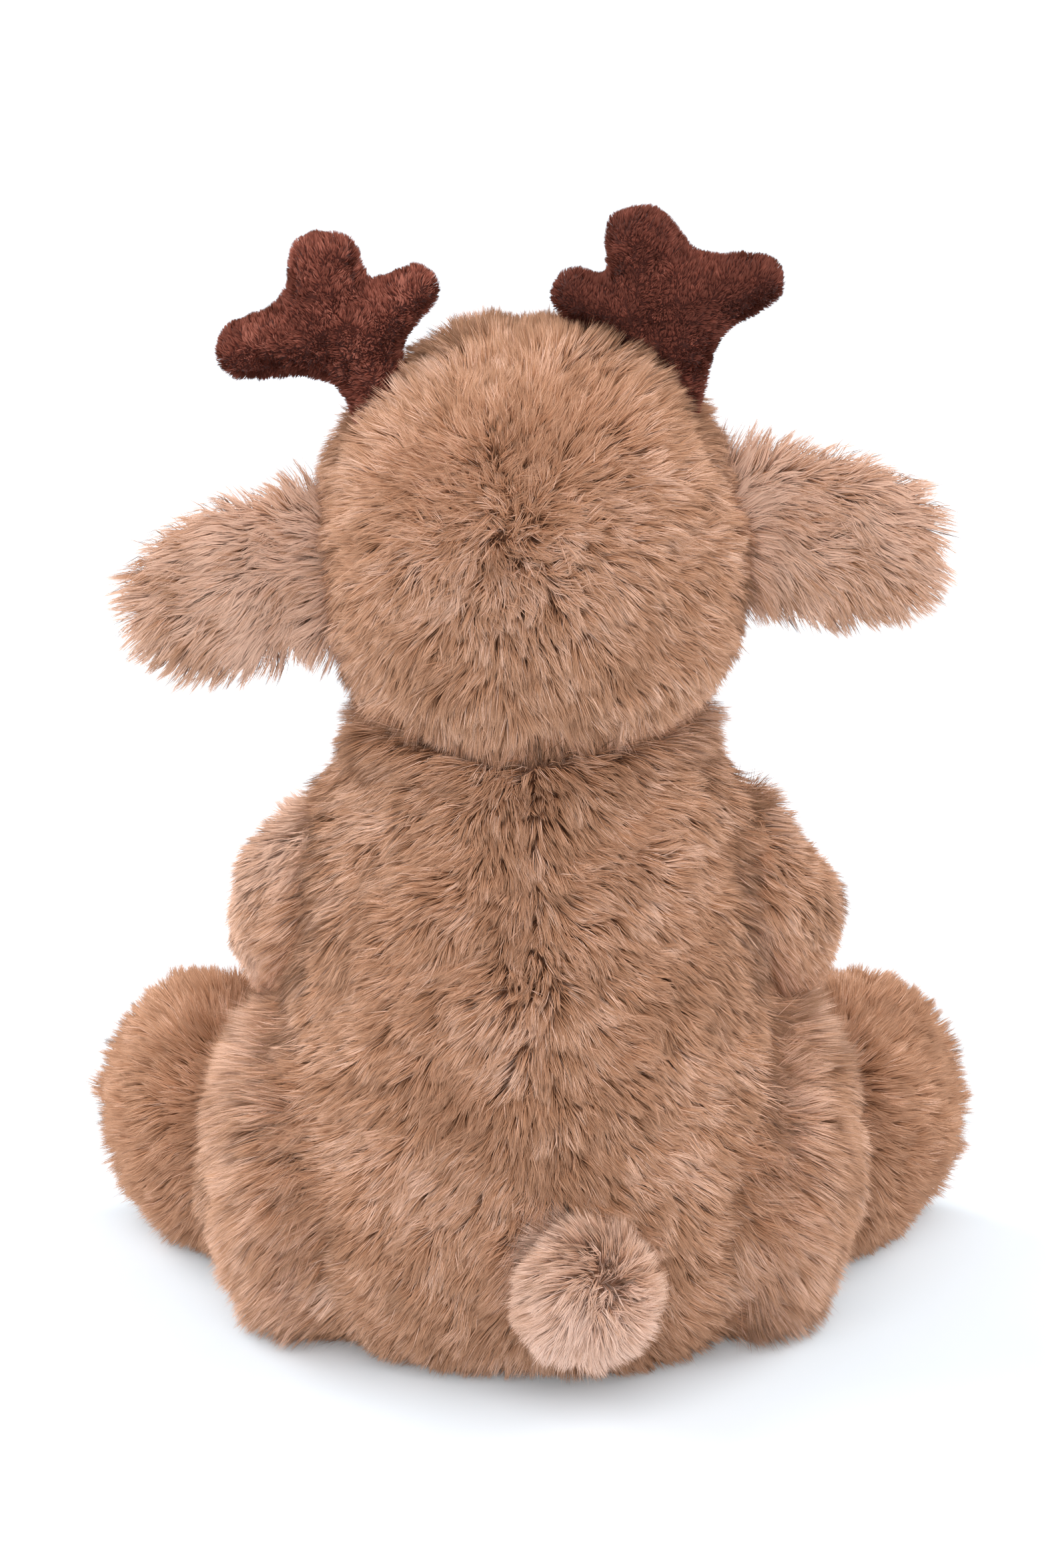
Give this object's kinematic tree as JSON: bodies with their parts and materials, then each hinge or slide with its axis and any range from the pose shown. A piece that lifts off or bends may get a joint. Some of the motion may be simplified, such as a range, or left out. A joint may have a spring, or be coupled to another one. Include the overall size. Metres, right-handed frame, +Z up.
{
  "type": "seated plush deer",
  "caption": "Seated stuffed deer with long tan pile, floppy ears, short-pile pronged antlers, jointed arms and legs and a round tail.",
  "frame": {"origin": "centre of the bounding box at the floor, under the seat", "axes": "+Z up, -Y out of the face and along the legs, +Y out of the back, +X to the toy's own left"},
  "size_m": [0.182, 0.1407, 0.2409],
  "materials": {
    "plush_tan": "long faux fur, warm tan, lighter at the tips",
    "plush_light": "faux fur, pale tan",
    "antler_brown": "short pile, reddish dark brown",
    "stuffing_white": "loose white fibre",
    "seat_cloth": "plain woven backing",
    "pellet_cloth": "plain woven bag",
    "eye_black": "polished black",
    "nose_brown": "satin dark brown",
    "washer_plastic": "plain moulded"
  },
  "bodies": {
    "torso": {"body_skin_left": "plush_tan", "body_skin_right": "plush_tan", "seat_panel": "seat_cloth", "body_stuffing": "stuffing_white", "pellet_bag": "pellet_cloth"},
    "neck": {"neck_stuffing": "stuffing_white"},
    "gather": {"neck_gather": "seat_cloth"},
    "head": {"head_skin_left": "plush_tan", "head_skin_right": "plush_tan", "head_stuffing": "stuffing_white", "muzzle_skin": "plush_light", "muzzle_stuffing": "stuffing_white", "eye_left": "eye_black", "eye_right": "eye_black", "eye_washer_left": "washer_plastic", "eye_washer_right": "washer_plastic", "nose": "nose_brown", "nose_washer": "washer_plastic"},
    "left_ear": {"ear_outer_left": "plush_tan", "ear_lining_left": "plush_light"},
    "right_ear": {"ear_outer_right": "plush_tan", "ear_lining_right": "plush_light"},
    "left_antler": {"antler_skin_left": "antler_brown", "antler_stuffing_left": "stuffing_white"},
    "right_antler": {"antler_skin_right": "antler_brown", "antler_stuffing_right": "stuffing_white"},
    "left_arm": {"arm_skin_left": "plush_tan", "arm_stuffing_left": "stuffing_white"},
    "right_arm": {"arm_skin_right": "plush_tan", "arm_stuffing_right": "stuffing_white"},
    "left_leg": {"leg_skin_left": "plush_tan", "leg_stuffing_left": "stuffing_white", "sole_pad_left": "plush_light"},
    "right_leg": {"leg_skin_right": "plush_tan", "leg_stuffing_right": "stuffing_white", "sole_pad_right": "plush_light"},
    "tail": {"tail_skin": "plush_light", "tail_stuffing": "stuffing_white"}
  },
  "joints": [
    {"name": "head_turn", "type": "hinge", "parent": "torso", "child": "neck", "pos_m": [0, -0.0055, 0.171], "axis": [0, 0, 1], "range_deg": [-25, 25], "stiffness_Nm_per_rad": 0.3},
    {"name": "head_nod", "type": "hinge", "parent": "neck", "child": "gather", "pos_m": [0, -0.0055, 0.171], "axis": [1, 0, 0], "range_deg": [-8, 8], "stiffness_Nm_per_rad": 0.4},
    {"name": "head_tilt", "type": "hinge", "parent": "gather", "child": "head", "pos_m": [0, -0.0055, 0.171], "axis": [0, 1, 0], "range_deg": [-6, 6], "stiffness_Nm_per_rad": 0.4},
    {"name": "left_ear_flap", "type": "hinge", "parent": "head", "child": "left_ear", "pos_m": [0.03885, -0.0055, 0.1676], "axis": [0.1908, 0, 0.9816], "range_deg": [-18, 18], "stiffness_Nm_per_rad": 0.01},
    {"name": "right_ear_flap", "type": "hinge", "parent": "head", "child": "right_ear", "pos_m": [-0.03885, -0.0055, 0.1744], "axis": [-0.0175, 0, 0.9998], "range_deg": [-18, 18], "stiffness_Nm_per_rad": 0.01},
    {"name": "left_antler_wobble", "type": "hinge", "parent": "head", "child": "left_antler", "pos_m": [0.03001, -0.0025, 0.19849], "axis": [0, 1, 0], "range_deg": [-8, 8], "stiffness_Nm_per_rad": 0.05},
    {"name": "right_antler_wobble", "type": "hinge", "parent": "head", "child": "right_antler", "pos_m": [-0.02898, -0.0025, 0.20114], "axis": [0, 1, 0], "range_deg": [-8, 8], "stiffness_Nm_per_rad": 0.05},
    {"name": "left_arm_swing", "type": "hinge", "parent": "torso", "child": "left_arm", "pos_m": [0.041, -0.0055, 0.11], "axis": [-0.9884, 0, -0.1516], "range_deg": [0, 60], "stiffness_Nm_per_rad": 0.1},
    {"name": "right_arm_swing", "type": "hinge", "parent": "torso", "child": "right_arm", "pos_m": [-0.041, -0.0055, 0.11], "axis": [-0.9884, 0, 0.1516], "range_deg": [0, 60], "stiffness_Nm_per_rad": 0.1},
    {"name": "left_leg_lift", "type": "hinge", "parent": "torso", "child": "left_leg", "pos_m": [0.046, 0.0085, 0.02], "axis": [-1, 0, 0], "range_deg": [0, 8], "stiffness_Nm_per_rad": 0.3},
    {"name": "right_leg_lift", "type": "hinge", "parent": "torso", "child": "right_leg", "pos_m": [-0.046, 0.0085, 0.02], "axis": [-1, 0, 0], "range_deg": [0, 8], "stiffness_Nm_per_rad": 0.3},
    {"name": "tail_wag", "type": "hinge", "parent": "torso", "child": "tail", "pos_m": [-0.0065, 0.04517, 0.033], "axis": [0, 0, 1], "range_deg": [-12, 12], "stiffness_Nm_per_rad": 0.01}
  ]
}
